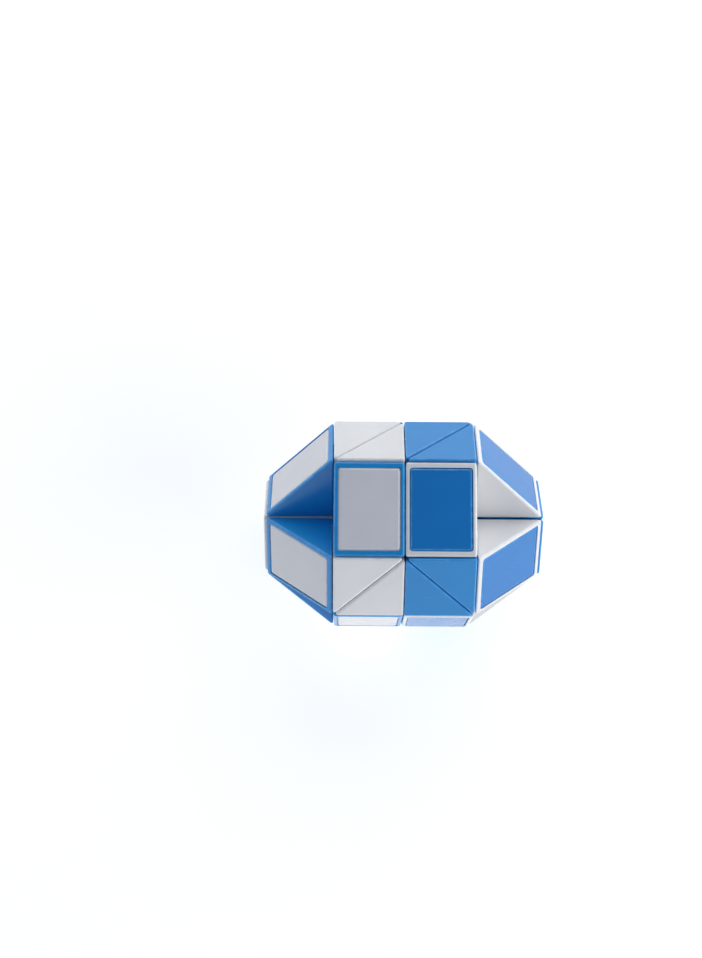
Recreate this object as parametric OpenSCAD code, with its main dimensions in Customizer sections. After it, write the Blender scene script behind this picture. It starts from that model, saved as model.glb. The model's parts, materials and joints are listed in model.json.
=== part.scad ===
// Twisty snake puzzle: thirty-six right-angled wedges strung on sprung swivels,
// stored folded into an elongated egg that lies on one of its eight long sides.
// +X runs along the egg, +Z is up, and the origin is under its middle.

/* [Wedge] */
// Grid pitch: the wedge's short side and its width, gap included
pitch = 20; // [16:0.5:28]
// Gap between neighbouring wedges
gap = 0.2; // [0.15:0.05:0.4]
// Wall of the moulded shell
wall = 1.6; // [1.2:0.1:2]
// Radius of the shell's right-angled long edge
corner_r = 0.7; // [0.4:0.1:1.5]
// Radius of the shell's two sharp long edges
tip_r = 0.6; // [0.2:0.1:0.7]

/* [Cap] */
// Rim left on each side of the snap-in cap, across the wedge
side_margin = 1.1; // [0.8:0.05:1.15]
// From the cap's end to the point where the long side would meet the square face
end_margin = 2.15; // [2.1:0.05:3.5]
// Thickness of the cap's plate
cap_thickness = 1.2; // [0.8:0.1:1.6]
// Radius of the cap's corners
cap_corner_r = 0.9; // [0.4:0.1:2]
// Play between the cap and its pocket
cap_play = 0.03; // [0.02:0.01:0.15]
// How far the cap sits below the shell's rim
cap_sink = 0.05; // [0:0.05:0.3]
// Length of the two snap tongues under the cap
tongue_length = 9; // [5:0.5:12]
// Thickness of each tongue
tongue_thickness = 0.9; // [0.6:0.1:1.4]
// Depth that each tongue reaches below the plate
tongue_depth = 2; // [1:0.1:3]

/* [Swivel] */
// Diameter of the screw's shank
screw_d = 2.4; // [2:0.1:3]
// Height of the screw's head
head_height = 0.9; // [0.6:0.1:1.2]
// Radial play of the shank in the wall that turns on it
swivel_play = 0.05; // [0.02:0.01:0.09]
// Radial play of the shank in the boss that it screws into
thread_play = 0.02; // [0.01:0.01:0.05]
// Wall of the boss around the screw
boss_wall = 1.1; // [0.8:0.1:1.5]
// Room kept between the cap and the screw heads and bosses under it
cap_room = 0.3; // [0.1:0.1:1]
// Wire diameter of the compression spring
spring_wire = 0.45; // [0.3:0.05:0.6]
// Radial play between the spring and the shank inside it
spring_play = 0.15; // [0.05:0.05:0.3]
// How far the screw's head and the washer reach past the spring
head_rim = 0.1; // [0.05:0.05:0.4]
// Thickness of the steel washer between spring and wall
washer_thickness = 0.4; // [0.3:0.1:0.6]
// Outer diameter of the raised bearing ring on the square face
ring_d = 8; // [6:0.5:10]
// Width of the bearing ring
ring_width = 1; // [0.6:0.1:1.5]
// Distance of the click bumps and dimples from the swivel's axis
click_radius = 6.5; // [5.5:0.1:7]
// Diameter of a click bump
click_d = 1.4; // [1:0.1:2]
// Play that the ring and bumps leave inside the gap
face_play = 0.05; // [0.02:0.01:0.1]
// Depth of the dimples that the click bumps drop over
dimple_depth = 0.3; // [0.2:0.05:0.6]

/* [Hidden] */
// Quarter turns of the thirty-five swivels, first wedge to last: the fold of the egg.
// 0 leaves the chain straight; 1, 2 and 3 twist it a quarter, a half and three quarters.
TURNS = [
    3, 1, 3, 1, 1, 0, 1, 3, 0, 3, 1, 2,
    3, 3, 1, 1, 3, 3, 1, 3, 1, 1, 3, 1,
    3, 3, 2, 1, 1, 3, 3, 1, 1, 3, 1
];
WEDGES = len(TURNS) + 1;
// The first wedges form the end flap, the only part of the chain free to swing from the egg
FLAP = 3;
// The chain is told apart in runs of wedges for its caps: the flap, then four longer runs
RUNS = [[1, 3], [4, 11], [12, 19], [20, 27], [28, 36]];

BLUE = "royalblue";
WHITE = "whitesmoke";
STEEL = "silver";

half = pitch / 2;
face = half - gap / 2;                // square face, from the cell's centre
inner = face - wall;                  // inside of that wall
slant = gap / sqrt(2);                // x + y on the shell's long side
width = pitch - gap;                  // shell width across the chain
cap_width = width - 2 * side_margin;
cap_length = (2 * face - slant) * sqrt(2) - 2 * end_margin;
pocket_depth = cap_thickness + cap_sink;
floor_line = slant + pocket_depth * sqrt(2);   // x + y on the pocket's floor
cavity_width = width - 2 * wall;
relief = gap - face_play;             // height of ring and bumps inside the gap
seat = gap / 2 + wall;                // inside of a wall, from the swivel's middle
spring_inside = screw_d + 2 * spring_play;
spring_d = spring_inside + 2 * spring_wire;
head_d = spring_d + 2 * head_rim;
boss_d = screw_d + 2 * boss_wall;
boss_height = half - seat - floor_line - boss_d / 2 - cap_room;
head_from = half - floor_line - head_d / 2 - cap_room - head_height;
spring_height = head_from - seat - washer_thickness;   // the spring is pressed to this
tip_room = 0.4;                       // from the screw's tip to the end of its boss
screw_tip = seat + boss_height - tip_room;
dimple_play = 0.15;
dimple_d = click_d + 2 * dimple_play;
egg_centre = pitch * sqrt(2) - gap / 2;        // height of the egg's long axis
lie_angle = 45;                       // turns the chain's grid so that the egg lies on a long side
long_side_angle = 225;                // the way a wedge's long side faces, in its own frame
click_angle = 45;                     // from a square face's edges to its bumps and dimples
past = 1;                             // how far a cut runs past what it cuts
round_fn = 48;
small_fn = 24;

// A polygon's corner rounded to radius r: p is the corner, a and b its neighbours
function unit(v) = v / norm(v);
function arc_corner(a, p, b, r, steps = 5) =
    let (u = unit(a - p), v = unit(b - p), half_angle = acos(u * v) / 2,
         middle = p + unit(u + v) * r / sin(half_angle),
         from = p + u * r / tan(half_angle), to = p + v * r / tan(half_angle),
         sweep = 180 - 2 * half_angle, side = cross(from - middle, to - middle) > 0 ? 1 : -1)
    [for (i = [0 : steps])
        let (t = side * sweep * i / steps, d = from - middle)
        middle + [d.x * cos(t) - d.y * sin(t), d.x * sin(t) + d.y * cos(t)]];

// The chain: each wedge as [cell centre, direction in, direction out], in pitches
function twisted(v, axis, quarter) =
    quarter == 0 ? v : quarter == 1 ? cross(axis, v) : quarter == 2 ? -v : -cross(axis, v);
function walk(i, centre, into, out) = i == len(TURNS)
    ? [[centre, into, out]]
    : concat([[centre, into, out]], walk(i + 1, centre + out, out, twisted(into, out, TURNS[i])));
CHAIN = walk(0, [-1.5, 1, 0], [-1, 0, 0], [0, -1, 0]);

function is_blue(i) = i % 2 == 1;
function two_digits(i) = i < 10 ? str("0", i) : str(i);
function wedge_name(i) = str("wedge_", two_digits(i), is_blue(i) ? "_blue_shell" : "_white_shell");
function run_name(run, blue) =
    str("wedges_", two_digits(run[0]), "_to_", two_digits(run[1]), blue ? "_blue" : "_white", "_caps");

// Puts a wedge's own frame in its place: x along the first square face's normal,
// y along the second's, the egg lying on one long side
module at_wedge(i) {
    place = CHAIN[i - 1];
    x = -place[1];
    y = place[2];
    z = cross(x, y);
    c = place[0] * pitch;
    translate([0, 0, egg_centre]) rotate([lie_angle, 0, 0])
        multmatrix([[x.x, y.x, z.x, c.x], [x.y, y.y, z.y, c.y], [x.z, y.z, z.z, c.z], [0, 0, 0, 1]])
            children();
}

// Puts a square face's swivel frame in a wedge: +z points out of the face, z = 0 is mid-gap.
// The first face is the one towards the wedge before, the second towards the wedge after.
module at_first_face() translate([half, 0, 0]) rotate([0, 90, 0]) children();
module at_second_face() translate([0, half, 0]) rotate([-90, 0, 0]) children();
module at_faces() {
    at_first_face() children();
    at_second_face() children();
}

// Puts the cap's own frame in a wedge: +z out of the long side, x down its length,
// z = 0 on the shell's rim
module at_cap()
    rotate([0, 0, long_side_angle]) rotate([90, 0, 90]) translate([0, 0, -gap / 2]) children();

module shell_outline() {
    corner = [face, face];
    tip_a = [slant - face, face];
    tip_b = [face, slant - face];
    polygon(concat(
        arc_corner(tip_b, corner, tip_a, corner_r),
        arc_corner(corner, tip_a, tip_b, tip_r),
        arc_corner(tip_a, tip_b, corner, tip_r)
    ));
}

module cavity_outline() {
    polygon([[inner, inner], [floor_line - inner, inner], [inner, floor_line - inner]]);
}

// A rounded rectangle, drawn so that its corners stay true arcs
module rounded_plate(length, across, r, thickness) {
    linear_extrude(thickness) union() {
        square([length - 2 * r, across], center = true);
        square([length, across - 2 * r], center = true);
        for (x = [-1, 1], y = [-1, 1])
            translate([x * (length / 2 - r), y * (across / 2 - r)]) circle(r, $fn = small_fn);
    }
}

// Heads and springs sit in the blue wedges; the screws bite into bosses in the white ones
module turning_face() {
    translate([0, 0, -seat - past])
        cylinder(h = seat + 2 * past, r = screw_d / 2 + swivel_play, $fn = round_fn);
}
module turning_relief() {
    rise = -gap / 2;
    translate([0, 0, rise]) difference() {
        cylinder(h = relief, d = ring_d, $fn = round_fn);
        translate([0, 0, -past])
            cylinder(h = relief + 2 * past, d = ring_d - 2 * ring_width, $fn = round_fn);
    }
    for (t = [0, 180]) rotate(click_angle + t) translate([click_radius, 0, rise])
        cylinder(h = relief, d = click_d, $fn = small_fn);
}
module screw_face() {
    translate([0, 0, -seat - boss_height - past])
        cylinder(h = seat + boss_height + 2 * past, r = screw_d / 2 + thread_play, $fn = round_fn);
    for (t = [0 : 90 : 270]) rotate(click_angle + t)
        translate([click_radius, 0, -gap / 2 - dimple_depth])
            cylinder(h = dimple_depth + past, d = dimple_d, $fn = small_fn);
}
module screw_boss() {
    translate([0, 0, -seat - boss_height]) cylinder(h = boss_height + wall / 2, d = boss_d, $fn = round_fn);
}

// One hollow wedge, open on its long side; the chain's two ends have one blank face each
module shell(i) {
    has_first = i > 1;
    has_second = i < WEDGES;
    difference() {
        union() {
            difference() {
                translate([0, 0, -width / 2]) linear_extrude(width) shell_outline();
                translate([0, 0, -cavity_width / 2]) linear_extrude(cavity_width) cavity_outline();
                at_cap() translate([0, 0, -pocket_depth])
                    rounded_plate(cap_length + 2 * cap_play, cap_width + 2 * cap_play,
                        cap_corner_r + cap_play, pocket_depth + past);
            }
            if (is_blue(i)) {
                if (has_first) at_first_face() turning_relief();
                if (has_second) at_second_face() turning_relief();
            } else {
                if (has_first) at_first_face() screw_boss();
                if (has_second) at_second_face() screw_boss();
            }
        }
        if (is_blue(i)) {
            if (has_first) at_first_face() turning_face();
            if (has_second) at_second_face() turning_face();
        } else {
            if (has_first) at_first_face() screw_face();
            if (has_second) at_second_face() screw_face();
        }
    }
}

module wedge_shell(i) color(is_blue(i) ? BLUE : WHITE) at_wedge(i) shell(i);

// The cap that closes a wedge: a plate in the pocket with two snap tongues inside the walls
module cap() {
    translate([0, 0, -pocket_depth]) rounded_plate(cap_length, cap_width, cap_corner_r, cap_thickness);
    for (side = [-1, 1])
        translate([0, side * (cavity_width / 2 - cap_play - tongue_thickness / 2),
            -pocket_depth - tongue_depth / 2])
            cube([tongue_length, tongue_thickness, tongue_depth], center = true);
}

// A blue wedge wears a white cap and a white wedge a blue one
module run_caps(run, blue) color(blue ? BLUE : WHITE)
    for (i = [run[0] : run[1]]) if (is_blue(i) != blue) at_wedge(i) at_cap() cap();

module screw() {
    translate([0, 0, -head_from - head_height]) cylinder(h = head_height, d = head_d, $fn = round_fn);
    translate([0, 0, -head_from]) cylinder(h = head_from + screw_tip, d = screw_d, $fn = round_fn);
}

// The spring's envelope: a sleeve as thick as its wire, between washer and head
module spring() translate([0, 0, -head_from]) difference() {
    cylinder(h = spring_height, d = spring_d, $fn = round_fn);
    translate([0, 0, -past])
        cylinder(h = spring_height + 2 * past, d = spring_inside, $fn = round_fn);
}

module washer() translate([0, 0, -seat - washer_thickness]) difference() {
    cylinder(h = washer_thickness, d = head_d, $fn = round_fn);
    translate([0, 0, -past])
        cylinder(h = washer_thickness + 2 * past, d = screw_d + 2 * swivel_play, $fn = round_fn);
}

// The screw, spring or washer of every swivel that blue wedges first to last hold
module for_swivels(first, last) color(STEEL)
    for (i = [first : last]) if (is_blue(i)) at_wedge(i) {
        if (i > 1) at_first_face() children();
        if (i < WEDGES) at_second_face() children();
    }

// The flap turns on the screw that the fourth wedge holds, so that screw stays with the body
module flap_screws() color(STEEL) {
    at_wedge(1) at_second_face() screw();
    at_wedge(FLAP) at_first_face() screw();
}
module flap_pivot_screw() color(STEEL) at_wedge(FLAP) at_second_face() screw();
module flap_springs() for_swivels(1, FLAP) spring();
module flap_washers() for_swivels(1, FLAP) washer();
module body_screws() for_swivels(FLAP + 1, WEDGES) screw();
module body_springs() for_swivels(FLAP + 1, WEDGES) spring();
module body_washers() for_swivels(FLAP + 1, WEDGES) washer();

for (i = [1 : WEDGES]) wedge_shell(i);
for (run = RUNS, blue = [true, false])
    run_caps(run, blue);
flap_screws();
flap_springs();
flap_washers();
flap_pivot_screw();
body_screws();
body_springs();
body_washers();
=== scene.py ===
"""Twisty snake puzzle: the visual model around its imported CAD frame.

Thirty-six hollow wedges with snap-in caps and sprung swivels, folded into a long egg.
Every piece is modelled once, on a bench where one unit is a millimetre, and its copies are
then put in their places along the chain, in metres.
"""

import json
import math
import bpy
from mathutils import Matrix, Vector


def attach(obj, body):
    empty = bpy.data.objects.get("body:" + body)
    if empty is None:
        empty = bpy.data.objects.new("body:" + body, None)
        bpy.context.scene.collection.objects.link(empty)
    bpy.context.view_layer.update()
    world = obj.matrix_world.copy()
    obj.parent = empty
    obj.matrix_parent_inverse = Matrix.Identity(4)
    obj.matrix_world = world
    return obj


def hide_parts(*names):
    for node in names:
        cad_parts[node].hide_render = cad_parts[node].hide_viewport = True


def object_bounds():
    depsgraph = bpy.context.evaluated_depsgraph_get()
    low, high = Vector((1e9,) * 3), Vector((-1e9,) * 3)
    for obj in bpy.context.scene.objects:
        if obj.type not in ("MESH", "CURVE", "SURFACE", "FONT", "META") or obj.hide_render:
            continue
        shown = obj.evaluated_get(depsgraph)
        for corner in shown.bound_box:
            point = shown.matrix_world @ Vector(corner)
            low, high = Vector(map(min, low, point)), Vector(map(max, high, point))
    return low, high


bl_info = {
    "name": "Twisty Snake Puzzle",
    "version": (1, 0, 0),
    "blender": (4, 5, 0),
    "location": "3D View > Sidebar > Snake Puzzle",
    "description": "Models a folded snake puzzle of moulded wedges, with its stage",
    "category": "Add Mesh",
}

import bmesh
import bpy
from bpy.props import FloatProperty, FloatVectorProperty, IntProperty, PointerProperty
from mathutils import Matrix, Vector

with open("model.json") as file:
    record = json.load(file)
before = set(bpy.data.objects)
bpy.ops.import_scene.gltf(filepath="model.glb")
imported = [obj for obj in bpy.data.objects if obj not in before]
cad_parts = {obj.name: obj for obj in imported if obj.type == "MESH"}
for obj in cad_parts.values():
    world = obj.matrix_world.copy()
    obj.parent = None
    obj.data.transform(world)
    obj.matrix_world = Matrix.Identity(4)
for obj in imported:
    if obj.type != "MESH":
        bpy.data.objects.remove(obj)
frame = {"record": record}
CAD_LOW, CAD_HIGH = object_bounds()
BODIES = frame["record"]["behaviour"]["bodies"]
BODY_OF_NODE = {node: body for body, nodes in BODIES.items() for node in nodes}

MM = 0.001
GAP = 0.2 * MM
PITCHES_LONG = 4
PITCH = (CAD_HIGH.x - CAD_LOW.x + GAP) / PITCHES_LONG
EGG_CENTRE = (CAD_LOW.z + CAD_HIGH.z) / 2

# In the bench's millimetres: how closely a place is matched, how far a cutting tool reaches past
# what it cuts, how deep a raised shape is rooted, and how far the hollow opens into the pocket
NEAR = 1e-4
PAST = 1
ROOT = 0.5
OPEN = 0.2

# Quarter turns of the thirty-five swivels, first wedge to last: the fold of the egg
TURNS = (
    3, 1, 3, 1, 1, 0, 1, 3, 0, 3, 1, 2,
    3, 3, 1, 1, 3, 3, 1, 3, 1, 1, 3, 1,
    3, 3, 2, 1, 1, 3, 3, 1, 1, 3, 1,
)
WEDGES = len(TURNS) + 1
FLAP = 3
# First and last wedge of the runs whose caps share a CAD node
RUNS = ((1, FLAP), (FLAP + 1, 11), (12, 19), (20, 27), (28, WEDGES))


# ---------------------------------------------------------------- sizes and looks


class SnakeWedgeSizes(bpy.types.PropertyGroup):
    """Sizes of the wedge shell"""

    wall: FloatProperty(name="Wall", description="Wall of the shell", default=1.6 * MM, unit="LENGTH")
    edge: FloatProperty(
        name="Edge rounding", description="Width of the rounding on the edges that run across",
        default=1.4 * MM, unit="LENGTH",
    )
    rim: FloatProperty(
        name="Rim rounding", description="Width of the rounding around the cap's pocket",
        default=0.03 * MM, unit="LENGTH",
    )
    square_edge: FloatProperty(
        name="Right-angle rounding", description="Share of that rounding on the right-angled edge",
        default=0.4, min=0, max=1,
    )
    side_edge: FloatProperty(
        name="Side rounding", description="Share of it along a side's two short edges",
        default=0.35, min=0, max=1,
    )
    long_edge: FloatProperty(
        name="Long side rounding", description="Share of it where a side meets the long side",
        default=0.55, min=0, max=1,
    )
    segments: IntProperty(name="Segments", description="Facets across a rounded edge", default=6)


class SnakeCapSizes(bpy.types.PropertyGroup):
    """Sizes of the snap-in cap"""

    side_margin: FloatProperty(
        name="Side margin", description="Rim left on each side of the cap",
        default=1.1 * MM, unit="LENGTH",
    )
    end_margin: FloatProperty(
        name="End margin", description="From the cap's end to the sharp tip of the wedge",
        default=2.15 * MM, unit="LENGTH",
    )
    room: FloatProperty(
        name="Room", description="Kept between the cap and the screw heads and bosses under it",
        default=0.3 * MM, unit="LENGTH",
    )
    thickness: FloatProperty(
        name="Thickness", description="Thickness of the plate", default=1.2 * MM, unit="LENGTH"
    )
    corner: FloatProperty(
        name="Corner radius", description="Radius of the plate's corners",
        default=0.9 * MM, unit="LENGTH",
    )
    edge: FloatProperty(
        name="Edge rounding", description="Width of the rounding on the plate's edge",
        default=0.12 * MM, unit="LENGTH",
    )
    play: FloatProperty(
        name="Play", description="Gap around the plate", default=0.03 * MM, unit="LENGTH"
    )
    sink: FloatProperty(
        name="Sink", description="Depth below the rim", default=0.01 * MM, unit="LENGTH"
    )
    tongue_length: FloatProperty(
        name="Tongue length", description="Length of a snap tongue", default=9 * MM, unit="LENGTH"
    )
    tongue_thickness: FloatProperty(
        name="Tongue thickness", description="Thickness of a snap tongue",
        default=0.9 * MM, unit="LENGTH",
    )
    tongue_depth: FloatProperty(
        name="Tongue depth", description="Reach below the plate", default=2 * MM, unit="LENGTH"
    )


class SnakeSwivelSizes(bpy.types.PropertyGroup):
    """Sizes of the swivel's screw, spring and washer and of the faces that turn on it"""

    shank: FloatProperty(name="Shank", description="Screw diameter", default=2.4 * MM, unit="LENGTH")
    head_height: FloatProperty(
        name="Head height", description="Height of the head", default=0.9 * MM, unit="LENGTH"
    )
    thread_pitch: FloatProperty(
        name="Thread pitch", description="Rise of one turn of thread",
        default=0.6 * MM, unit="LENGTH",
    )
    boss_wall: FloatProperty(
        name="Boss wall", description="Wall of the boss around the screw",
        default=1.1 * MM, unit="LENGTH",
    )
    wire: FloatProperty(name="Wire", description="Spring wire", default=0.45 * MM, unit="LENGTH")
    spring_play: FloatProperty(
        name="Spring play", description="Between the spring and the shank",
        default=0.15 * MM, unit="LENGTH",
    )
    head_rim: FloatProperty(
        name="Head rim", description="How far the head and washer reach past the spring",
        default=0.1 * MM, unit="LENGTH",
    )
    coils: IntProperty(name="Coils", description="Turns of the spring's wire", default=4)
    washer: FloatProperty(
        name="Washer", description="Thickness of the washer", default=0.4 * MM, unit="LENGTH"
    )
    ring: FloatProperty(
        name="Ring", description="Bearing ring diameter", default=8 * MM, unit="LENGTH"
    )
    ring_width: FloatProperty(
        name="Ring width", description="Width of the bearing ring", default=1 * MM, unit="LENGTH"
    )
    face_play: FloatProperty(
        name="Face play", description="Play that ring and bumps leave inside the gap",
        default=0.05 * MM, unit="LENGTH",
    )
    click_radius: FloatProperty(
        name="Click radius", description="Bumps' distance from the axis",
        default=6.5 * MM, unit="LENGTH",
    )
    click: FloatProperty(
        name="Click bump", description="Bump diameter", default=1.4 * MM, unit="LENGTH"
    )
    dimple_play: FloatProperty(
        name="Dimple play", description="Between a click bump and its dimple",
        default=0.15 * MM, unit="LENGTH",
    )
    dimple_depth: FloatProperty(
        name="Dimple depth", description="Depth of a dimple", default=0.3 * MM, unit="LENGTH"
    )
    play: FloatProperty(
        name="Play", description="Between the shank and what turns on it",
        default=0.05 * MM, unit="LENGTH",
    )
    thread_play: FloatProperty(
        name="Thread play", description="Between the thread and its boss",
        default=0.02 * MM, unit="LENGTH",
    )
    thread_depth: FloatProperty(
        name="Thread depth", description="From the thread's crest to its root",
        default=0.2 * MM, unit="LENGTH",
    )
    tip_room: FloatProperty(
        name="Tip room", description="From the screw's tip to the end of the boss",
        default=0.4 * MM, unit="LENGTH",
    )
    recess_span: FloatProperty(
        name="Recess span", description="Across the head's cross recess",
        default=2.2 * MM, unit="LENGTH",
    )
    recess_width: FloatProperty(
        name="Recess width", description="Width of its slots", default=0.45 * MM, unit="LENGTH"
    )
    recess_depth: FloatProperty(
        name="Recess depth", description="Depth of its slots", default=0.55 * MM, unit="LENGTH"
    )


class SnakeLooks(bpy.types.PropertyGroup):
    """Colours and gloss of the mouldings"""

    blue: FloatVectorProperty(
        name="Blue", description="Colour of the blue plastic", subtype="COLOR",
        size=3, default=(0.012, 0.272, 0.670), min=0, max=1,
    )
    # Painted highlight: a lighter blue mixed into the rounded edges so that they look lit
    blue_rubbed: FloatVectorProperty(
        name="Highlit blue", description="Colour of the blue plastic's rubbed edges", subtype="COLOR",
        size=3, default=(0.110, 0.460, 0.900), min=0, max=1,
    )
    white: FloatVectorProperty(
        name="White", description="Colour of the white plastic", subtype="COLOR",
        size=3, default=(0.825, 0.818, 0.805), min=0, max=1,
    )
    # Painted highlight: a lighter white mixed into the rounded edges so that they look lit
    white_rubbed: FloatVectorProperty(
        name="Highlit white", description="Colour of the white plastic's rubbed edges",
        subtype="COLOR", size=3, default=(0.970, 0.968, 0.960), min=0, max=1,
    )
    # Painted shade: the caps are the same plastics as the shells, coloured darker and greyer so that
    # they look less lit than the shells' rounded rims
    blue_cap: FloatVectorProperty(
        name="Blue caps", description="Colour of the blue caps, darker than the shells'",
        subtype="COLOR", size=3, default=(0.010, 0.197, 0.562), min=0, max=1,
    )
    white_cap: FloatVectorProperty(
        name="White caps", description="Colour of the white caps, greyer than the shells'",
        subtype="COLOR", size=3, default=(0.720, 0.722, 0.745), min=0, max=1,
    )
    blue_depth: FloatProperty(
        name="Blue depth", description="Share of light that the blue plastic scatters inside itself",
        default=0.05, min=0, max=1,
    )
    white_depth: FloatProperty(
        name="White depth",
        description="Share of light that the white plastic scatters inside itself",
        default=0.15, min=0, max=1,
    )
    steel: FloatVectorProperty(
        name="Steel", description="Colour of the plated steel", subtype="COLOR",
        size=3, default=(0.560, 0.570, 0.590), min=0, max=1,
    )


class SnakeStage(bpy.types.PropertyGroup):
    """Camera and lights"""

    elevation: FloatProperty(
        name="Elevation", description="Camera's angle above the table",
        default=math.radians(79.08), subtype="ANGLE",
    )
    roll: FloatProperty(
        name="Roll", description="Camera's turn about its own axis",
        default=math.radians(0.41), subtype="ANGLE",
    )
    distance: FloatProperty(
        name="Distance", description="From the aim to the camera", default=0.5164, unit="LENGTH"
    )
    aim: FloatVectorProperty(
        name="Aim", description="Where the camera looks, from the middle of the egg",
        size=3, default=(-0.0151, 0.0138, 0), subtype="TRANSLATION",
    )
    lens: FloatProperty(name="Lens", description="Focal length in millimetres", default=66.04)
    horizon: FloatVectorProperty(
        name="Horizon", description="Light of the studio at the horizon", subtype="COLOR",
        size=3, default=(0.93, 0.94, 0.96), min=0, max=1,
    )
    ceiling: FloatVectorProperty(
        name="Ceiling", description="Light of the studio overhead", subtype="COLOR",
        size=3, default=(0.080, 0.120, 0.205), min=0, max=1,
    )
    glow: FloatProperty(name="Floor glow", description="Light given off by the floor", default=0.68)
    floor_size: FloatProperty(
        name="Floor size", description="Width of the square floor", default=16, unit="LENGTH"
    )
    floor: FloatVectorProperty(
        name="Floor", description="Colour of the floor", subtype="COLOR",
        size=3, default=(0.83, 0.83, 0.82), min=0, max=1,
    )


# ---------------------------------------------------------------- places along the chain


def twisted(direction, axis, quarters):
    """direction turned about axis by a number of quarter turns"""
    if quarters == 0:
        return direction
    if quarters == 2:
        return -direction
    return axis.cross(direction) * (1 if quarters == 1 else -1)


def chain():
    """A matrix for every wedge, from its own frame on the bench to its place in metres"""
    lie_down = Matrix.Translation((0, 0, EGG_CENTRE)) @ Matrix.Rotation(math.radians(45), 4, "X")
    centre, into, out = Vector((-1.5, 1, 0)), Vector((-1, 0, 0)), Vector((0, -1, 0))
    places = []
    for quarters in TURNS + (0,):
        x, y = -into, out
        axes = Matrix((x, y, x.cross(y))).transposed().to_4x4()
        place = Matrix.Translation(centre * PITCH) @ axes @ Matrix.Scale(MM, 4)
        places.append(lie_down @ place)
        centre, into, out = centre + out, out, twisted(into, out, quarters)
    return places


PLACES = chain()


def is_blue(wedge):
    """Whether a wedge, counted from 1, has a blue shell and a white cap"""
    return wedge % 2 == 1


def shell_node(wedge):
    return f"wedge_{wedge:02d}_{'blue' if is_blue(wedge) else 'white'}_shell"


def caps_node(wedge):
    first, last = next(run for run in RUNS if run[0] <= wedge <= run[1])
    return f"wedges_{first:02d}_to_{last:02d}_{'white' if is_blue(wedge) else 'blue'}_caps"


def swivels(first, last):
    """Places of the swivels whose screw heads sit in blue wedges first to last"""
    found = []
    for wedge in range(first, last + 1):
        if is_blue(wedge):
            if wedge > 1:
                found.append(PLACES[wedge - 1] @ first_face())
            if wedge < WEDGES:
                found.append(PLACES[wedge - 1] @ second_face())
    return found


def first_face():
    """Swivel frame of the square face towards the wedge before: +z out, 0 in mid-gap"""
    return Matrix.Translation((PITCH / MM / 2, 0, 0)) @ Matrix.Rotation(math.radians(90), 4, "Y")


def second_face():
    """Swivel frame of the square face towards the wedge after"""
    return Matrix.Translation((0, PITCH / MM / 2, 0)) @ Matrix.Rotation(math.radians(-90), 4, "X")


def cap_frame():
    """Cap's frame in its wedge: +z out of the long side, x down its length, 0 on the rim"""
    x, y = Vector((1, -1, 0)).normalized(), Vector((0, 0, 1))
    axes = Matrix((x, y, x.cross(y))).transposed().to_4x4()
    return axes @ Matrix.Translation((0, 0, -GAP / MM / 2))


# ---------------------------------------------------------------- bench tools


def done(result):
    """Stops the script when one of Blender's operators was cancelled"""
    if result != {"FINISHED"}:
        raise RuntimeError("a step of the model was cancelled")


def only(piece):
    """Selects one object and nothing else"""
    bpy.ops.object.select_all(action="DESELECT")
    piece.select_set(True)
    bpy.context.view_layer.objects.active = piece


def named(name):
    """Names a new primitive and applies its place to its mesh"""
    piece = bpy.context.active_object
    piece.name = name
    bpy.ops.object.transform_apply(location=True, rotation=True, scale=True)
    return piece


def block(name, size, centre=(0, 0, 0)):
    """A rectangular block"""
    bpy.ops.object.select_all(action="DESELECT")
    bpy.ops.mesh.primitive_cube_add(size=1, location=centre, scale=size)
    return named(name)


def disc(name, diameter, low, high, sides=48, at=(0, 0)):
    """An upright round bar from low to high"""
    bpy.ops.object.select_all(action="DESELECT")
    bpy.ops.mesh.primitive_cylinder_add(
        vertices=sides, radius=diameter / 2, depth=high - low, location=(*at, (low + high) / 2)
    )
    return named(name)


def pick(piece, test):
    """In edit mode, selects the edges for which test(middle, run) is true"""
    mesh = bmesh.from_edit_mesh(piece.data)
    for edge in mesh.edges:
        a, b = (v.co for v in edge.verts)
        edge.select_set(bool(test((a + b) / 2, b - a)))
    mesh.select_flush(True)
    bmesh.update_edit_mesh(piece.data)


def above(level):
    """A test for edges at or above a height"""
    return lambda middle, run: middle.z > level - NEAR


def below(level):
    """A test for edges at or below a height"""
    return lambda middle, run: middle.z < level + NEAR


def level_run(middle, run):
    """A test for edges that lie level"""
    return abs(run.z) < NEAR


def upright_run(middle, run):
    """A test for edges that stand up"""
    return not level_run(middle, run)


def round_edges(piece, width, segments, test):
    """Rounds the edges that a test finds"""
    only(piece)
    bpy.ops.object.mode_set(mode="EDIT")
    bpy.ops.mesh.select_mode(type="EDGE")
    bpy.ops.mesh.select_all(action="DESELECT")
    pick(piece, test)
    done(bpy.ops.mesh.bevel(offset_type="OFFSET", offset=width, segments=segments, profile=0.5))
    bpy.ops.object.mode_set(mode="OBJECT")


def round_by_share(piece, width, segments, share_of):
    """Rounds every edge of a new block by its own share of a width"""
    mesh = piece.data
    shares = mesh.attributes.new("bevel_weight_edge", "FLOAT", "EDGE")
    for edge in mesh.edges:
        a, b = (mesh.vertices[i].co for i in edge.vertices)
        shares.data[edge.index].value = share_of((a + b) / 2, b - a)
    bevel = piece.modifiers.new("Rounding", "BEVEL")
    bevel.limit_method = "WEIGHT"
    bevel.width = width
    bevel.segments = segments
    only(piece)
    done(bpy.ops.object.modifier_apply(modifier=bevel.name))


def slice_off(piece, through, normal):
    """Cuts away what lies behind a plane and closes the cut"""
    only(piece)
    bpy.ops.object.mode_set(mode="EDIT")
    bpy.ops.mesh.select_all(action="SELECT")
    done(bpy.ops.mesh.bisect(
        plane_co=through, plane_no=normal, use_fill=True, clear_inner=True, threshold=1e-5
    ))
    bpy.ops.object.mode_set(mode="OBJECT")


def moved(piece, place):
    """Moves a piece's mesh and leaves its object at the origin"""
    piece.data.transform(place)
    return piece


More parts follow.
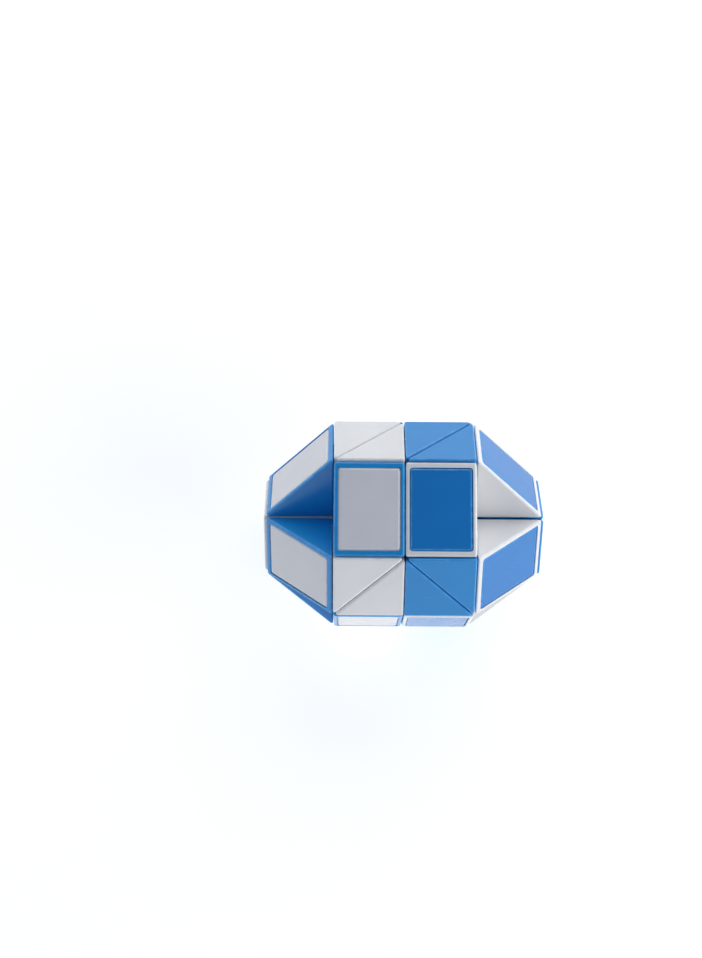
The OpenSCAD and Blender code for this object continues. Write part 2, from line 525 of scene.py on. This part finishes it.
def combine(piece, tool, operation):
    """Cuts a tool out of a piece or adds it, and uses the tool up"""
    cut = piece.modifiers.new(operation.title(), "BOOLEAN")
    cut.operation = operation
    cut.solver = "EXACT"
    cut.object = tool
    only(piece)
    done(bpy.ops.object.modifier_apply(modifier=cut.name))
    bpy.data.objects.remove(tool, do_unlink=True)
    return piece


def joined(name, pieces):
    """Makes several pieces one object, without cutting them"""
    bpy.ops.object.select_all(action="DESELECT")
    for piece in pieces:
        piece.select_set(True)
    bpy.context.view_layer.objects.active = pieces[0]
    if len(pieces) > 1:
        done(bpy.ops.object.join())
    pieces[0].name = name
    return pieces[0]


def shaded(piece, angle=40):
    """Smooth shading that keeps flat faces flat"""
    only(piece)
    done(bpy.ops.object.shade_smooth_by_angle(angle=math.radians(angle)))
    weigh = piece.modifiers.new("Flat faces", "WEIGHTED_NORMAL")
    weigh.keep_sharp = True
    done(bpy.ops.object.modifier_apply(modifier=weigh.name))
    return piece


def copy_at(pattern, place, name):
    """A copy with its own mesh, put in its place"""
    copy = bpy.data.objects.new(name, pattern.data.copy())
    bpy.context.scene.collection.objects.link(copy)
    copy.data.transform(place)
    copy.data.update()
    return copy


def discard(*patterns):
    for pattern in patterns:
        bpy.data.objects.remove(pattern, do_unlink=True)


def fit(piece, node, material):
    """Gives a finished piece its material and the body of the CAD node that it stands for, and hides
    that node's CAD part
    """
    if not piece.data.polygons:
        raise RuntimeError(f"{piece.name} came out empty")
    piece.data.materials.clear()
    piece.data.materials.append(material)
    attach(piece, BODY_OF_NODE[node])
    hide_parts(node)


# ---------------------------------------------------------------- patterns on the bench


def bench():
    """The sizes in millimetres, with those worked out from them"""
    scene = bpy.context.scene
    groups = {"": scene.snake_wedge, "cap_": scene.snake_cap, "swivel_": scene.snake_swivel}
    s = {"half": PITCH / MM / 2, "outside": -GAP / MM / 2, "slant": GAP / MM / math.sqrt(2)}
    for start, group in groups.items():
        for name, kind in group.bl_rna.properties.items():
            if kind.type == "FLOAT" and kind.unit == "LENGTH":
                s[start + name] = getattr(group, name) / MM
    s["face"] = s["half"] + s["outside"]
    s["inner"] = s["face"] - s["wall"]
    s["width"] = 2 * s["face"]
    s["cavity_width"] = s["width"] - 2 * s["wall"]
    s["cap_width"] = s["width"] - 2 * s["cap_side_margin"]
    s["cap_length"] = (s["width"] - s["slant"]) * math.sqrt(2) - 2 * s["cap_end_margin"]
    s["pocket"] = s["cap_thickness"] + s["cap_sink"]
    s["floor_line"] = s["slant"] + s["pocket"] * math.sqrt(2)
    s["hollow_line"] = s["floor_line"] - OPEN
    s["relief"] = GAP / MM - s["swivel_face_play"]
    s["seat"] = s["wall"] - s["outside"]
    s["spring_inside"] = s["swivel_shank"] + 2 * s["swivel_spring_play"]
    s["spring"] = s["spring_inside"] + 2 * s["swivel_wire"]
    s["head"] = s["spring"] + 2 * s["swivel_head_rim"]
    s["boss"] = s["swivel_shank"] + 2 * s["swivel_boss_wall"]
    under_cap = s["half"] - s["floor_line"] - s["cap_room"]
    s["boss_height"] = under_cap - s["seat"] - s["boss"] / 2
    s["head_from"] = under_cap - s["head"] / 2 - s["swivel_head_height"]
    s["spring_height"] = s["head_from"] - s["seat"] - s["swivel_washer"]
    return s


FLATS = [Vector(way).normalized() for way in ((1, 0, 0), (0, 1, 0), (0, 0, 1), (1, 1, 0))]
# A facet that leans by 24 degrees or more from a flat side gets the painted highlight in full
FULLY_HIGHLIT = 1 / 12


def mark_edges(piece):
    """Stores how far every facet leans from a flat side, so that roundings can carry a painted
    highlight
    """
    mesh = piece.data
    lean = mesh.attributes.new("lean", "FLOAT", "CORNER")
    for face in mesh.polygons:
        straight = max(abs(face.normal.dot(flat)) for flat in FLATS)
        for corner in face.loop_indices:
            lean.data[corner].value = min(1, (1 - straight) / FULLY_HIGHLIT)
    return piece


def prism(name, face, line, width):
    """A three-sided bar: the part of a square bar where x + y is over line"""
    bar = block(name, (2 * face, 2 * face, width))
    slice_off(bar, (line / 2, line / 2, 0), (1, 1, 0))
    return bar


def plate(name, length, width, corner, low, high):
    """A plate with rounded corners"""
    board = block(name, (length, width, high - low), (0, 0, (low + high) / 2))
    round_edges(board, corner, segments=6, test=upright_run)
    return board


def wedge_shares(middle, run):
    """How round each of a wedge's edges is, against those that run across it"""
    settings = bpy.context.scene.snake_wedge
    if upright_run(middle, run):
        on_right_angle = middle.x > 0 and middle.y > 0
        return settings.square_edge if on_right_angle else 1
    on_long_side = abs(run.x + run.y) < NEAR
    return settings.long_edge if on_long_side else settings.side_edge


def shell_pattern(blue, first, second):
    """One hollow wedge; first and second say which square faces carry a swivel"""
    s = bench()
    segments = bpy.context.scene.snake_wedge.segments
    shell = prism("shell", s["face"], s["slant"], s["width"])
    round_by_share(shell, s["edge"], segments, wedge_shares)
    hollow = prism("hollow", s["inner"], s["hollow_line"], s["cavity_width"])
    combine(shell, hollow, "DIFFERENCE")
    play = 2 * s["cap_play"]
    pocket = plate(
        "pocket", s["cap_length"] + play, s["cap_width"] + play,
        s["cap_corner"] + s["cap_play"], -s["pocket"], PAST,
    )
    combine(shell, moved(pocket, cap_frame()), "DIFFERENCE")
    for carries, place in ((first, first_face()), (second, second_face())):
        if not carries:
            continue
        if blue:
            turning_face(shell, s, place)
        else:
            screw_face(shell, s, place)
    round_rim(shell, s)
    return mark_edges(shaded(shell))


def round_the_axis(s, turns):
    """Places of the bumps or dimples on a swivel's face, the first at 45 degrees"""
    angles = [math.radians(45) + math.tau * i / turns for i in range(turns)]
    return [s["swivel_click_radius"] * Vector((math.cos(a), math.sin(a))) for a in angles]


def turning_face(shell, s, place):
    """Bearing ring, click bumps and clearance hole of a blue square face"""
    top, foot = s["outside"] + s["relief"], s["outside"] - ROOT
    ring = disc("ring", s["swivel_ring"], foot, top)
    round_edges(ring, width=0.08, segments=2, test=above(top))
    combine(shell, moved(ring, place), "UNION")
    recess = disc("recess", s["swivel_ring"] - 2 * s["swivel_ring_width"], s["outside"], top + PAST)
    combine(shell, moved(recess, place), "DIFFERENCE")
    for at in round_the_axis(s, turns=2):
        bump = disc("bump", s["swivel_click"], foot, top, sides=24, at=at)
        round_edges(bump, width=0.18, segments=3, test=above(top))
        combine(shell, moved(bump, place), "UNION")
    hole = disc("hole", s["swivel_shank"] + 2 * s["swivel_play"], -s["seat"] - PAST, PAST)
    combine(shell, moved(hole, place), "DIFFERENCE")


def screw_face(shell, s, place):
    """Boss, screw hole and click dimples of a white square face"""
    end = -s["seat"] - s["boss_height"]
    boss = disc("boss", s["boss"], end, -s["seat"] + ROOT)
    combine(shell, moved(boss, place), "UNION")
    bottom = s["outside"] - s["swivel_dimple_depth"]
    for at in round_the_axis(s, turns=4):
        diameter = s["swivel_click"] + 2 * s["swivel_dimple_play"]
        dimple = disc("dimple", diameter, bottom, PAST, sides=24, at=at)
        round_edges(dimple, width=0.15, segments=2, test=below(bottom))
        combine(shell, moved(dimple, place), "DIFFERENCE")
    hole = disc("hole", s["swivel_shank"] + 2 * s["swivel_thread_play"], end - PAST, PAST)
    combine(shell, moved(hole, place), "DIFFERENCE")


def round_rim(shell, s):
    """Softens the edge of the pocket on the shell's long side"""
    out = -Vector((1, 1, 0)).normalized()
    rim = -s["slant"] / math.sqrt(2)
    beyond = s["cap_play"] + NEAR
    half_length, half_width = s["cap_length"] / 2 + beyond, s["cap_width"] / 2 + beyond

    def on_rim(middle, run):
        along, across = (middle.x - middle.y) / math.sqrt(2), middle.z
        level = abs(middle.dot(out) - rim) < NEAR and abs(run.dot(out)) < NEAR
        return level and abs(along) < half_length and abs(across) < half_width

    round_edges(shell, s["rim"], segments=2, test=on_rim)


def cap_pattern():
    """The cap's plate with its rounded edge, and two snap tongues"""
    s = bench()
    low, high = -s["pocket"], -s["cap_sink"]
    board = plate("cap", s["cap_length"], s["cap_width"], s["cap_corner"], low, high)
    round_edges(board, s["cap_edge"], segments=3, test=above(high))
    parts = [board]
    for side in (-1, 1):
        y = side * (s["cavity_width"] / 2 - s["cap_play"] - s["cap_tongue_thickness"] / 2)
        size = (s["cap_tongue_length"], s["cap_tongue_thickness"], s["cap_tongue_depth"])
        tongue = block("tongue", size, (0, y, low - s["cap_tongue_depth"] / 2))
        foot = low - s["cap_tongue_depth"]
        round_edges(tongue, width=0.25, segments=2, test=below(foot))
        parts.append(tongue)
    return mark_edges(shaded(joined("cap", parts)))


def helix(name, profile, turns, rise, steps):
    """A closed profile in the xz plane swept round z, with both ends filled"""
    mesh = bpy.data.meshes.new(name)
    mesh.from_pydata(profile, [(i, (i + 1) % len(profile)) for i in range(len(profile))], [])
    coil = bpy.data.objects.new(name, mesh)
    bpy.context.scene.collection.objects.link(coil)
    only(coil)
    sweep = coil.modifiers.new("Sweep", "SCREW")
    sweep.angle = math.tau * turns
    sweep.screw_offset = rise * turns
    sweep.steps = sweep.render_steps = int(steps * turns)
    done(bpy.ops.object.modifier_apply(modifier=sweep.name))
    bpy.ops.object.mode_set(mode="EDIT")
    bpy.ops.mesh.select_mode(type="EDGE")
    bpy.ops.mesh.select_all(action="DESELECT")
    edges = bmesh.from_edit_mesh(coil.data)
    for edge in edges.edges:
        edge.select_set(edge.is_boundary)
    bmesh.update_edit_mesh(coil.data)
    done(bpy.ops.mesh.edge_face_add())
    bpy.ops.mesh.select_all(action="SELECT")
    bpy.ops.mesh.normals_make_consistent(inside=False)
    bpy.ops.object.mode_set(mode="OBJECT")
    return coil


def screw_pattern():
    """A pan-head screw with a cross recess and a thread, head down"""
    s = bench()
    top, head_top = s["head_from"], s["head_from"] + s["swivel_head_height"]
    tip = s["seat"] + s["boss_height"] - s["swivel_tip_room"]
    head = disc("screw", s["head"], -head_top, -top, sides=32)
    round_edges(head, width=0.35, segments=4, test=below(-head_top))
    for turned in (0, 90):
        recess = (s["swivel_recess_span"], s["swivel_recess_width"], 2 * s["swivel_recess_depth"])
        slot = block("slot", recess, (0, 0, -head_top))
        slot.data.transform(Matrix.Rotation(math.radians(turned), 4, "Z"))
        combine(head, slot, "DIFFERENCE")
    crest = s["swivel_shank"] / 2
    core = crest - s["swivel_thread_depth"]
    into_head, into_core = 0.01, 0.05
    shank = disc("shank", 2 * core, -top - into_head, tip, sides=24)
    round_edges(shank, width=0.3, segments=2, test=above(tip))
    rise, sunk = s["swivel_thread_pitch"], core - into_core
    start, run_out = 0.5 * rise, 0.7
    tooth = [(sunk, 0, 0), (crest, 0, 0.3 * rise), (crest, 0, 0.4 * rise), (sunk, 0, 0.7 * rise)]
    length = top + tip - start - run_out
    thread = helix("thread", tooth, length / rise, rise, steps=14)
    moved(thread, Matrix.Translation((0, 0, -top + start)))
    return shaded(joined("screw", [head, shank, thread]), angle=50)


def spring_pattern():
    """A short compression spring between washer and head"""
    s = bench()
    wire, height = s["swivel_wire"], s["spring_height"]
    radius = (s["spring"] - wire) / 2
    turns = bpy.context.scene.snake_swivel.coils
    sides = 8
    around = [math.tau * i / sides for i in range(sides)]
    profile = [(radius + math.cos(a) * wire / 2, 0, math.sin(a) * wire / 2) for a in around]
    coil = helix("spring", profile, turns, (height - wire) / turns, steps=16)
    moved(coil, Matrix.Translation((0, 0, -s["head_from"] + wire / 2)))
    return shaded(coil, angle=60)


def washer_pattern():
    """The flat washer between the spring and the wall"""
    s = bench()
    low, high = -s["seat"] - s["swivel_washer"], -s["seat"]
    ring = disc("washer", s["head"], low, high, sides=32)
    round_edges(ring, width=0.08, segments=2, test=level_run)
    opening = s["swivel_shank"] + 2 * s["swivel_play"]
    hole = disc("hole", opening, low - PAST, high + PAST, sides=32)
    return shaded(combine(ring, hole, "DIFFERENCE"))


# ---------------------------------------------------------------- materials

# Nearly all the values of a noise lie between these
NOISE_LOW, NOISE_HIGH = 0.3, 0.73
# Only a few strands of a noise are this high, and they make separate scratches
SCRATCH_LOW, SCRATCH_HIGH = 0.73, 0.8


def new_material(name):
    """A material with its nodes, its shader, and a coordinate node, ready to wire"""
    material = bpy.data.materials.new(name)
    material.use_nodes = True
    nodes = material.node_tree.nodes
    nodes.clear()
    shader = nodes.new("ShaderNodeBsdfPrincipled")
    output = nodes.new("ShaderNodeOutputMaterial")
    material.node_tree.links.new(shader.outputs["BSDF"], output.inputs["Surface"])
    place = nodes.new("ShaderNodeTexCoord")
    return material, shader, place.outputs["Object"]


def noise(material, where, scale, detail, roughness=0.5):
    """Noise at a scale in cells a metre"""
    node = material.node_tree.nodes.new("ShaderNodeTexNoise")
    node.inputs["Scale"].default_value = scale
    node.inputs["Detail"].default_value = detail
    node.inputs["Roughness"].default_value = roughness
    material.node_tree.links.new(where, node.inputs["Vector"])
    return node.outputs["Fac"]


def mapped(material, value, low=0, high=1, start=NOISE_LOW, end=NOISE_HIGH):
    """value, which runs from start to end, as low to high"""
    node = material.node_tree.nodes.new("ShaderNodeMapRange")
    node.inputs["From Min"].default_value = start
    node.inputs["From Max"].default_value = end
    node.inputs["To Min"].default_value = low
    node.inputs["To Max"].default_value = high
    material.node_tree.links.new(value, node.inputs["Value"])
    return node.outputs["Result"]


def blended(material, value, low, high):
    """Colour from low to high as value goes from 0 to 1"""
    node = material.node_tree.nodes.new("ShaderNodeMix")
    node.data_type = "RGBA"
    node.inputs["A"].default_value = (*low, 1)
    node.inputs["B"].default_value = (*high, 1)
    links = material.node_tree.links
    links.new(value, node.inputs["Factor"])
    return next(out for out in node.outputs if out.type == "RGBA")


def bumped(material, height, strength, depth, under=None):
    """A normal raised by height, up to depth in metres, over another normal if there is one"""
    node = material.node_tree.nodes.new("ShaderNodeBump")
    node.inputs["Strength"].default_value = strength
    node.inputs["Distance"].default_value = depth
    links = material.node_tree.links
    links.new(height, node.inputs["Height"])
    if under is not None:
        links.new(under, node.inputs["Normal"])
    return node.outputs["Normal"]


def hairlines(material, where, turn):
    """Sparse fine scratches that all run one way"""
    node = material.node_tree.nodes.new("ShaderNodeMapping")
    node.inputs["Scale"].default_value = (60, 3800, 60)
    node.inputs["Rotation"].default_value = turn
    material.node_tree.links.new(where, node.inputs["Vector"])
    lines = noise(material, node.outputs["Vector"], scale=1, detail=1, roughness=0.4)
    return mapped(material, lines, start=SCRATCH_LOW, end=SCRATCH_HIGH)


def math_node(material, operation, first, second):
    """A math node of two sockets, or of a socket and a number"""
    node = material.node_tree.nodes.new("ShaderNodeMath")
    node.operation = operation
    for value, entry in zip((first, second), node.inputs):
        if isinstance(value, (int, float)):
            entry.default_value = value
        else:
            material.node_tree.links.new(value, entry)
    return node.outputs["Value"]


def moulded_plastic(name, colour, highlit, translucence):
    """Glossy ABS: slight drift of tone, soft flow ripple, fine scratches, and a painted highlight
    that makes the rounded edges lighter
    """
    material, shader, where = new_material(name)
    links = material.node_tree.links
    drift = mapped(material, noise(material, where, scale=45, detail=3))
    shade = blended(material, drift, [c * 0.94 for c in colour], [min(1, c * 1.04) for c in colour])
    # Painted highlight: the leaning facets of rounded edges, in patches, are mixed towards a lighter
    # colour
    lean = material.node_tree.nodes.new("ShaderNodeAttribute")
    lean.attribute_name = "lean"
    patchy = mapped(material, noise(material, where, scale=420, detail=3), low=0.35)
    highlight_mask = math_node(material, "MULTIPLY", lean.outputs["Fac"], patchy)
    pale = blended(material, math_node(material, "MULTIPLY", highlight_mask, 0.75), colour, highlit)
    links.new(shade, pale.node.inputs["A"])
    links.new(pale, shader.inputs["Base Color"])
    one_way = hairlines(material, where, turn=(0.5, 0.9, 0.7))
    other_way = hairlines(material, where, turn=(1.9, 0.3, 2.4))
    scratches = math_node(material, "MAXIMUM", one_way, other_way)
    # The scratches and the painted highlight's mask also raise the roughness a little
    added_roughness = math_node(material, "MULTIPLY", math_node(material, "MAXIMUM", scratches, highlight_mask), 0.035)
    gloss = mapped(material, noise(material, where, scale=240, detail=4), low=0.19, high=0.27)
    links.new(math_node(material, "ADD", gloss, added_roughness), shader.inputs["Roughness"])
    flow, grain = (noise(material, where, scale, detail=1) for scale in (130, 1500))
    ripple = bumped(material, flow, strength=0.25, depth=0.2 * MM)
    peel = bumped(material, grain, strength=0.1, depth=0.02 * MM, under=ripple)
    links.new(peel, shader.inputs["Normal"])
    shader.inputs["IOR"].default_value = 1.53
    shader.inputs["Subsurface Weight"].default_value = translucence
    shader.inputs["Subsurface Radius"].default_value = (1, 1, 1)
    shader.inputs["Subsurface Scale"].default_value = 0.8 * MM
    return material


def plated_steel():
    """Zinc-plated steel with a fine spangle"""
    material, shader, where = new_material("plated_steel")
    links = material.node_tree.links
    colour = bpy.context.scene.snake_looks.steel
    spangle = mapped(material, noise(material, where, scale=1800, detail=2))
    shade = blended(material, spangle, [c * 0.85 for c in colour], list(colour))
    gloss = mapped(material, noise(material, where, scale=3200, detail=3), low=0.24, high=0.4)
    grain = noise(material, where, scale=4000, detail=2)
    links.new(shade, shader.inputs["Base Color"])
    links.new(gloss, shader.inputs["Roughness"])
    links.new(bumped(material, grain, strength=0.2, depth=0.02 * MM), shader.inputs["Normal"])
    shader.inputs["Metallic"].default_value = 1
    return material


def floor_paper():
    """Matt pale backdrop paper"""
    material, shader, where = new_material("floor_paper")
    links = material.node_tree.links
    settings = bpy.context.scene.snake_stage
    fibre = mapped(material, noise(material, where, scale=700, detail=4))
    shade = blended(material, fibre, [c * 0.985 for c in settings.floor], list(settings.floor))
    tooth = noise(material, where, scale=1500, detail=3)
    links.new(shade, shader.inputs["Base Color"])
    links.new(shade, shader.inputs["Emission Color"])
    links.new(bumped(material, tooth, strength=0.1, depth=0.1 * MM), shader.inputs["Normal"])
    shader.inputs["Roughness"].default_value = 0.9
    shader.inputs["Emission Strength"].default_value = settings.glow
    return material


def finish_of(blue, cap):
    """The blue or white plastic of the shells or of the caps, each made once"""
    tone = "blue" if blue else "white"
    name = f"{tone}_{'cap' if cap else 'shell'}"
    if name in bpy.data.materials:
        return bpy.data.materials[name]
    looks = bpy.context.scene.snake_looks
    # Caps take the darker, greyer colours that paint shade on them
    colour = getattr(looks, f"{tone}_cap" if cap else tone)
    # The lighter colour that paints a highlight on the rounded edges
    highlit = getattr(looks, f"{tone}_rubbed")
    return moulded_plastic(name, list(colour), list(highlit), getattr(looks, f"{tone}_depth"))


def steel_finish():
    """The plated steel, made once"""
    return bpy.data.materials.get("plated_steel") or plated_steel()


# ---------------------------------------------------------------- operators


class SNAKE_OT_shells(bpy.types.Operator):
    """Model the thirty-six wedge shells"""

    bl_idname = "snake.shells"
    bl_label = "Wedge shells"

    def execute(self, context):
        patterns = {}
        for wedge in range(1, WEDGES + 1):
            kind = (is_blue(wedge), wedge > 1, wedge < WEDGES)
            if kind not in patterns:
                patterns[kind] = shell_pattern(*kind)
            shell = copy_at(patterns[kind], PLACES[wedge - 1], f"shell_{wedge:02d}")
            fit(shell, shell_node(wedge), finish_of(is_blue(wedge), cap=False))
        discard(*patterns.values())
        return {"FINISHED"}


class SNAKE_OT_caps(bpy.types.Operator):
    """Model the thirty-six snap-in caps"""

    bl_idname = "snake.caps"
    bl_label = "Caps"

    def execute(self, context):
        pattern = cap_pattern()
        for wedge in range(1, WEDGES + 1):
            cap = copy_at(pattern, PLACES[wedge - 1] @ cap_frame(), f"cap_{wedge:02d}")
            fit(cap, caps_node(wedge), finish_of(not is_blue(wedge), cap=True))
        discard(pattern)
        return {"FINISHED"}


def make_hardware(pattern, kind):
    """Copies of a screw, spring or washer at every swivel, one piece for each CAD node"""
    groups = {f"flap_{kind}": swivels(1, FLAP), f"body_{kind}": swivels(FLAP + 1, WEDGES)}
    if kind == "screws":
        groups["flap_pivot_screw"] = [groups["flap_screws"].pop()]
    for node, places in groups.items():
        copies = [copy_at(pattern, place, f"{node}_{i}") for i, place in enumerate(places)]
        fit(joined(f"steel_{node}", copies), node, steel_finish())
    discard(pattern)


class SNAKE_OT_screws(bpy.types.Operator):
    """Model the swivels' screws"""

    bl_idname = "snake.screws"
    bl_label = "Screws"

    def execute(self, context):
        make_hardware(screw_pattern(), "screws")
        return {"FINISHED"}


class SNAKE_OT_springs(bpy.types.Operator):
    """Model the swivels' springs"""

    bl_idname = "snake.springs"
    bl_label = "Springs"

    def execute(self, context):
        make_hardware(spring_pattern(), "springs")
        return {"FINISHED"}


class SNAKE_OT_washers(bpy.types.Operator):
    """Model the swivels' washers"""

    bl_idname = "snake.washers"
    bl_label = "Washers"

    def execute(self, context):
        make_hardware(washer_pattern(), "washers")
        return {"FINISHED"}


# Name, place, width and height in metres, power in watts, and whether glossy faces mirror it
LIGHTS = (
    ("back_light", (0.2, 0.8, 0.46), (1.2, 0.9), 4.2, True),
    ("right_light", (0.85, -0.3, 0.36), (0.9, 0.6), 4.8, False),
    ("left_light", (-0.85, -0.3, 0.36), (0.9, 0.6), 0.4, False),
    ("front_light", (0, -0.8, 0.46), (1.2, 0.9), 0.3, True),
)


def soft_light(name, place, size, power, glare):
    """A rectangular soft light that faces the middle of the egg"""
    lamp = bpy.data.lights.new(name, "AREA")
    lamp.shape = "RECTANGLE"
    lamp.size, lamp.size_y = size
    lamp.energy = power
    light = bpy.data.objects.new(name, lamp)
    bpy.context.scene.collection.objects.link(light)
    light.location = place
    light.visible_glossy = glare
    aim = Vector((0, 0, EGG_CENTRE)) - Vector(place)
    light.rotation_euler = aim.to_track_quat("-Z", "Y").to_euler()


def studio_world(settings):
    """A pale band at the horizon that fades to a dim, cool ceiling"""
    world = bpy.data.worlds.new("studio")
    world.use_nodes = True
    nodes, links = world.node_tree.nodes, world.node_tree.links
    way = nodes.new("ShaderNodeTexCoord")
    height = nodes.new("ShaderNodeSeparateXYZ")
    fade = nodes.new("ShaderNodeValToRGB")
    fade.color_ramp.interpolation = "EASE"
    band = ((0.1, settings.horizon), (0.75, settings.ceiling))
    for stop, (rise, colour) in zip(fade.color_ramp.elements, band):
        stop.position = rise
        stop.color = (*colour, 1)
    links.new(way.outputs["Generated"], height.inputs["Vector"])
    links.new(height.outputs["Z"], fade.inputs["Fac"])
    links.new(fade.outputs["Color"], nodes["Background"].inputs["Color"])
    return world


class SNAKE_OT_stage(bpy.types.Operator):
    """Make the floor, the lights and the camera"""

    bl_idname = "snake.stage"
    bl_label = "Stage"

    def execute(self, context):
        settings = context.scene.snake_stage
        bpy.ops.object.select_all(action="DESELECT")
        bpy.ops.mesh.primitive_plane_add(size=settings.floor_size, location=(0, 0, CAD_LOW.z))
        floor = named("floor")
        floor.data.materials.append(floor_paper())
        for light in LIGHTS:
            soft_light(*light)
        context.scene.world = studio_world(settings)
        context.scene.view_settings.view_transform = "Standard"
        self.add_camera(context, settings)
        return {"FINISHED"}

    def add_camera(self, context, settings):
        lens = bpy.data.cameras.new("camera")
        lens.lens = settings.lens
        lens.clip_start = 10 * MM
        camera = bpy.data.objects.new("camera", lens)
        context.scene.collection.objects.link(camera)
        tilt = settings.elevation
        back = Vector((0, -math.cos(tilt), math.sin(tilt)))
        aim = Vector(settings.aim) + Vector((0, 0, EGG_CENTRE))
        up = back.cross(Vector((1, 0, 0)))
        axes = Matrix((Vector((1, 0, 0)), up, back)).transposed().to_4x4()
        turn = Matrix.Rotation(settings.roll, 4, "Z")
        camera.matrix_world = Matrix.Translation(aim + back * settings.distance) @ axes @ turn
        context.scene.camera = camera


class SNAKE_PT_panel(bpy.types.Panel):
    """The snake puzzle's sizes and makers"""

    bl_idname = "SNAKE_PT_panel"
    bl_label = "Snake Puzzle"
    bl_space_type = "VIEW_3D"
    bl_region_type = "UI"
    bl_category = "Snake Puzzle"

    def draw(self, context):
        for name in GROUPS:
            group = getattr(context.scene, name)
            box = self.layout.box()
            box.label(text=group.bl_rna.description)
            for key in GROUPS[name].__annotations__:
                box.prop(group, key)
        for maker in MAKERS:
            self.layout.operator(maker.bl_idname)


GROUPS = {
    "snake_wedge": SnakeWedgeSizes,
    "snake_cap": SnakeCapSizes,
    "snake_swivel": SnakeSwivelSizes,
    "snake_looks": SnakeLooks,
    "snake_stage": SnakeStage,
}
MAKERS = (
    SNAKE_OT_shells,
    SNAKE_OT_caps,
    SNAKE_OT_screws,
    SNAKE_OT_springs,
    SNAKE_OT_washers,
    SNAKE_OT_stage,
)


def register():
    for group in GROUPS.values():
        bpy.utils.register_class(group)
    for thing in (*MAKERS, SNAKE_PT_panel):
        bpy.utils.register_class(thing)
    for name, group in GROUPS.items():
        setattr(bpy.types.Scene, name, PointerProperty(type=group))


def unregister():
    for name in GROUPS:
        delattr(bpy.types.Scene, name)
    for thing in (SNAKE_PT_panel, *reversed(MAKERS), *reversed(tuple(GROUPS.values()))):
        bpy.utils.unregister_class(thing)


def main():
    register()
    bpy.ops.snake.stage()
    bpy.ops.snake.shells()
    bpy.ops.snake.caps()
    bpy.ops.snake.screws()
    bpy.ops.snake.springs()
    bpy.ops.snake.washers()


if __name__ == "__main__":
    main()
